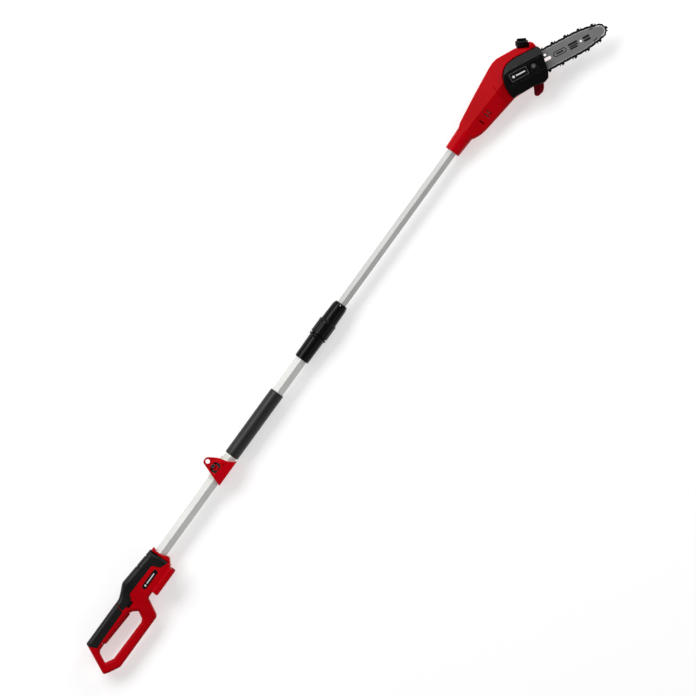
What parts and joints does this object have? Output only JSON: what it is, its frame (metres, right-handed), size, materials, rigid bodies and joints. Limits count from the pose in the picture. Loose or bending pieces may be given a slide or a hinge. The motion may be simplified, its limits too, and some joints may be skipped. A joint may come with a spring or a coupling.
{
  "type": "telescoping pole saw",
  "caption": "Battery pole saw: trigger handle with finger loop, telescoping hexagonal tubes with twist lock, angled cutting head with guide bar, chain, sprocket cover and oil cap.",
  "frame": {"origin": "centre of the bounding box on the ground that the tool lies on, on its side", "axes": "+X along the pole towards the bar nose, +Y towards the upper side of the tool in use, +Z away from the ground, out of the sprocket cover"},
  "size_m": [2.146, 0.1984, 0.0836],
  "materials": {
    "red_plastic": "moulded, semi-gloss",
    "dark_red_plastic": "moulded, satin",
    "black_plastic": "fine moulded texture",
    "soft_grip": "soft-touch elastomer",
    "foam": "closed-cell foam",
    "aluminium": "drawn, satin",
    "aluminium_dark": "drawn, anodised satin",
    "cast_aluminium": "die-cast",
    "bar_steel": "bead-blasted",
    "chain_steel": "blued",
    "steel": "turned",
    "dark_steel": "black oxide",
    "nylon": "natural nylon",
    "tank_plastic": "translucent polyethylene",
    "badge": "gloss",
    "circuit_board": "solder mask",
    "cable_sheath": "smooth",
    "wire_red": "smooth",
    "hose": "smooth"
  },
  "bodies": {
    "handle": {"handle_shell_left": "red_plastic", "handle_shell_right": "red_plastic", "rear_grip_skin": "soft_grip", "front_grip_skin": "soft_grip", "handle_badge": "badge", "handle_screws": "dark_steel", "front_collar": "red_plastic", "battery_foot": "red_plastic", "contact_block": "black_plastic", "control_board": "circuit_board", "handle_wiring": "wire_red", "trigger_pin": "steel", "trigger_spring": "steel", "power_switch": "black_plastic", "lock_spring": "steel", "outer_tube": "aluminium", "foam_grip": "foam", "lock_sleeve": "black_plastic", "lock_collet": "nylon", "coiled_cable": "cable_sheath"},
    "trigger": {"trigger": "red_plastic"},
    "lock_button": {"lock_button": "black_plastic"},
    "strap_clamp": {"strap_clamp_front": "red_plastic", "strap_clamp_back": "red_plastic", "strap_clamp_liner": "nylon", "strap_clamp_bolt": "dark_steel"},
    "lock_nut": {"lock_nut": "black_plastic"},
    "boom": {"inner_tube": "aluminium_dark", "guide_bush": "nylon", "head_cable": "cable_sheath", "head_shell_back": "red_plastic", "head_shell_front": "red_plastic", "head_screws": "dark_steel", "motor": "steel", "shaft_bearings": "steel", "gear_case": "cast_aluminium", "deck_plate": "cast_aluminium", "oil_tank": "tank_plastic", "oil_pump": "nylon", "oil_tubes": "hose", "bar_stud": "steel", "sprocket_cover": "black_plastic", "cover_badge": "badge", "limb_hook": "dark_red_plastic"},
    "rotor": {"motor_pinion": "steel"},
    "drive": {"bevel_gear": "steel", "drive_shaft": "steel", "sprocket": "steel"},
    "pump_plunger": {"pump_plunger": "steel"},
    "oil_cap": {"oil_cap": "black_plastic", "oil_cap_seal": "cable_sheath"},
    "bar": {"guide_bar": "bar_steel", "drive_link_set": "chain_steel", "tie_strap_set": "chain_steel", "cutter_set": "chain_steel", "rivet_set": "chain_steel", "tension_slider": "dark_steel"},
    "nose_wheel": {"nose_sprocket": "steel"},
    "tension_screw": {"tension_screw": "steel"},
    "bar_nut": {"bar_nut": "dark_steel"}
  },
  "joints": [
    {"name": "telescope", "type": "slide", "parent": "handle", "child": "boom", "axis": [1, 0, 0], "range_m": [-0.44, 0], "deforming": ["coiled_cable"]},
    {"name": "twist_lock", "type": "hinge", "parent": "handle", "child": "lock_nut", "pos_m": [0.02603, 0.0472, 0.037], "axis": [1, 0, 0], "range_deg": [0, 120]},
    {"name": "trigger_pull", "type": "hinge", "parent": "handle", "child": "trigger", "pos_m": [-1.00797, 0.0312, 0.037], "axis": [0, 0, 1], "range_deg": [0, 4], "stiffness_Nm_per_rad": 6, "springref_deg": -1.72, "deforming": ["trigger_spring"]},
    {"name": "lock_press", "type": "slide", "parent": "handle", "child": "lock_button", "axis": [0, 0, 1], "range_m": [-0.004, 0], "stiffness_N_per_m": 400, "springref_m": 0.002, "deforming": ["lock_spring"]},
    {"name": "clamp_slide", "type": "slide", "parent": "handle", "child": "strap_clamp", "axis": [1, 0, 0], "range_m": [-0.2, 0]},
    {"name": "drive_spin", "type": "hinge", "parent": "boom", "child": "drive", "pos_m": [0.82003, 0.0332, 0.037], "axis": [0, 0, 1], "continuous": true},
    {"name": "motor_spin", "type": "hinge", "parent": "boom", "child": "rotor", "pos_m": [0.72603, 0.0332, 0.031], "axis": [1, 0, 0], "continuous": true},
    {"name": "pump_spin", "type": "hinge", "parent": "boom", "child": "pump_plunger", "pos_m": [0.82496, 0.04337, 0.039], "axis": [0.8996, -0.4368, 0], "continuous": true},
    {"name": "nose_spin", "type": "hinge", "parent": "bar", "child": "nose_wheel", "pos_m": [1.05172, -0.0793, 0.061], "axis": [0, 0, 1], "continuous": true},
    {"name": "cap_turn", "type": "hinge", "parent": "boom", "child": "oil_cap", "pos_m": [0.8989, 0.05827, 0.033], "axis": [0.7371, 0.643, 0.2079], "range_deg": [0, 330]},
    {"name": "tension_turn", "type": "hinge", "parent": "boom", "child": "tension_screw", "pos_m": [0.86113, -0.00121, 0.0525], "axis": [0.8996, -0.4368, 0], "range_deg": [-450, 0]},
    {"name": "bar_shift", "type": "slide", "parent": "boom", "child": "bar", "axis": [0.8996, -0.4368, 0], "range_m": [-0.001, 0]},
    {"name": "nut_turn", "type": "hinge", "parent": "boom", "child": "bar_nut", "pos_m": [0.8749, 0.00656, 0.077], "axis": [0, 0, 1], "continuous": true}
  ],
  "couplings": [
    {"joint": "motor_spin", "follows": "drive_spin", "ratio": -3},
    {"joint": "pump_spin", "follows": "drive_spin", "ratio": 0.1},
    {"joint": "nose_spin", "follows": "drive_spin", "ratio": 0.66667},
    {"joint": "tension_turn", "follows": "bar_shift", "rad_per_m": 7854}
  ]
}
